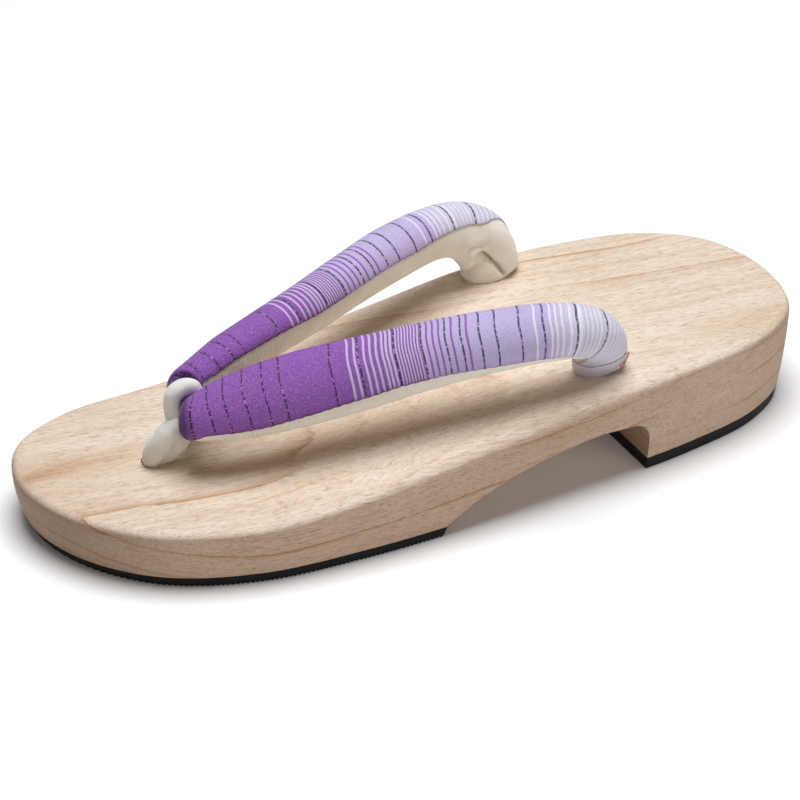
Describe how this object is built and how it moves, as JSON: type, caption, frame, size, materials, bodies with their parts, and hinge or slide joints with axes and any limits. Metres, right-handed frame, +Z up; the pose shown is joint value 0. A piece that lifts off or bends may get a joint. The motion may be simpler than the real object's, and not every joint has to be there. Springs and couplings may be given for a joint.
{
  "type": "geta sandal",
  "caption": "Low wooden geta for the left foot: carved base with an undercut arch, rubber soles, padded thong straps and a soft toe loop.",
  "frame": {"origin": "middle of the footprint of the whole sandal, on the ground", "axes": "+Z up from the ground, -Y towards the toe, +X towards the outer (little toe) side of a left foot"},
  "size_m": [0.0918, 0.24, 0.0565],
  "materials": {
    "wood": "bare sanded paulownia, pale straight grain",
    "rubber": "matt black",
    "strap_cloth": "cross-striped woven cloth over padding, deep purple fading to near white",
    "strap_lining": "cream felt under the straps",
    "loop_velvet": "short pale grey-green pile"
  },
  "bodies": {
    "root": {"wood_base": "wood", "forefoot_rubber_sole": "rubber", "heel_rubber_sole": "rubber", "thong_straps": "strap_cloth", "toe_loop": "loop_velvet"}
  },
  "joints": []
}
